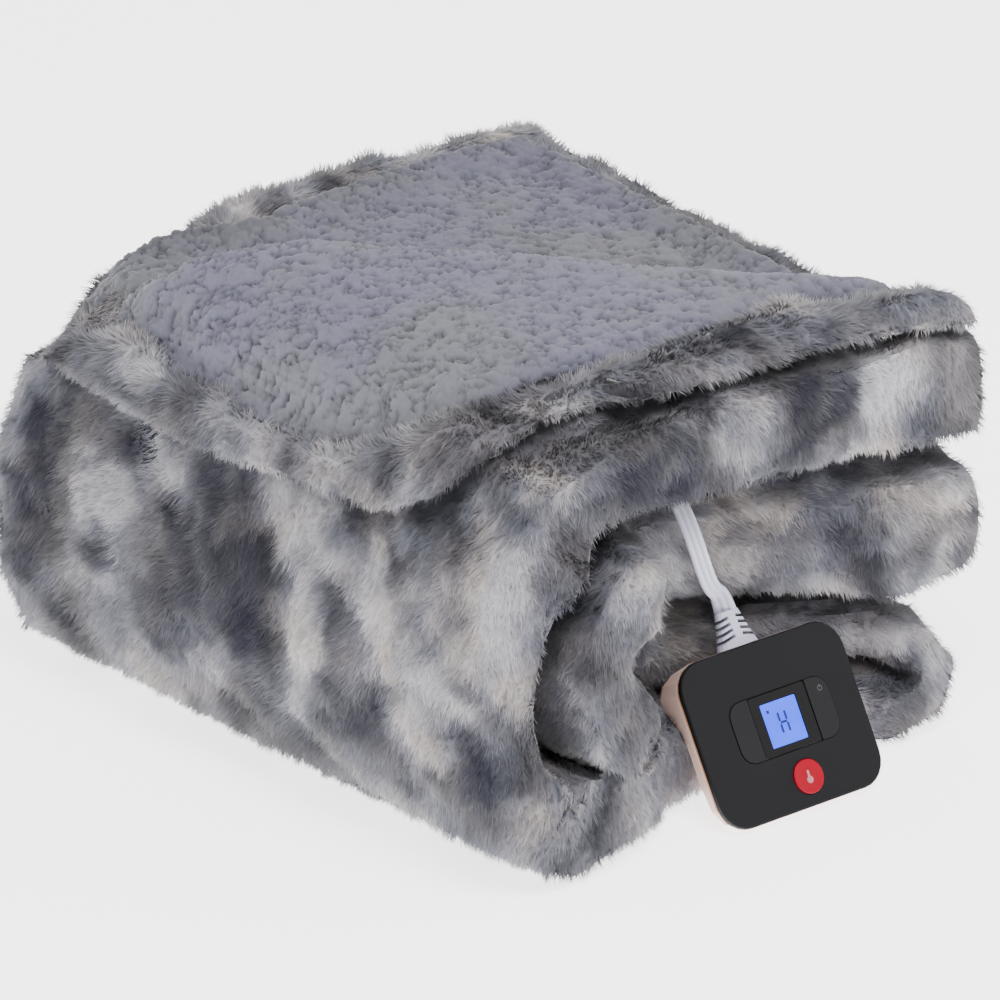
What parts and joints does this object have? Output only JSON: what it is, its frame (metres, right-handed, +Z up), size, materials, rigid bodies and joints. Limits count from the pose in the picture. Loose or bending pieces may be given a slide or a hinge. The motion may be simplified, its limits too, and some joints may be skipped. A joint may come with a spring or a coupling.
{
  "type": "folded electric heated blanket with hand controller",
  "caption": "Folded faux-fur heated throw with a sherpa lining, and its hand controller leaning on it on a short flat lead.",
  "frame": {"origin": "middle of the footprint, lead left out, at the surface the blanket lies on", "axes": "+Z up, -Y towards the rounded ends of the rolls and the controller, -X towards the smooth wrapped side"},
  "size_m": [0.3706, 0.4232, 0.2546],
  "materials": {
    "fur": "long faux fur, tie-dyed in light grey and charcoal",
    "sherpa": "curly sherpa pile",
    "rose_shell": "satin moulded plastic with a faint metallic tone",
    "black_plate": "satin black",
    "black_gloss": "gloss black",
    "blue_screen": "lit blue display",
    "red_button": "satin red",
    "grey_rubber": "soft pale grey moulding"
  },
  "bodies": {
    "blanket": {"fur_throw": "fur", "sherpa_lining": "sherpa", "controller_housing": "rose_shell", "face_plate": "black_plate", "display_window": "black_gloss", "display_screen": "blue_screen", "strain_relief": "grey_rubber", "controller_lead": "grey_rubber"},
    "left_key": {"key_left": "black_plate"},
    "right_key": {"key_right": "black_plate"},
    "power_key": {"power_button": "red_button"}
  },
  "joints": [
    {"name": "left_key_press", "type": "slide", "parent": "blanket", "child": "left_key", "axis": [0.0594, 0.8497, -0.524], "range_m": [0, 0.0008], "stiffness_N_per_m": 1800},
    {"name": "right_key_press", "type": "slide", "parent": "blanket", "child": "right_key", "axis": [0.0594, 0.8497, -0.524], "range_m": [0, 0.0008], "stiffness_N_per_m": 1800},
    {"name": "power_button_press", "type": "slide", "parent": "blanket", "child": "power_key", "axis": [0.0594, 0.8497, -0.524], "range_m": [0, 0.0008], "stiffness_N_per_m": 1800}
  ]
}
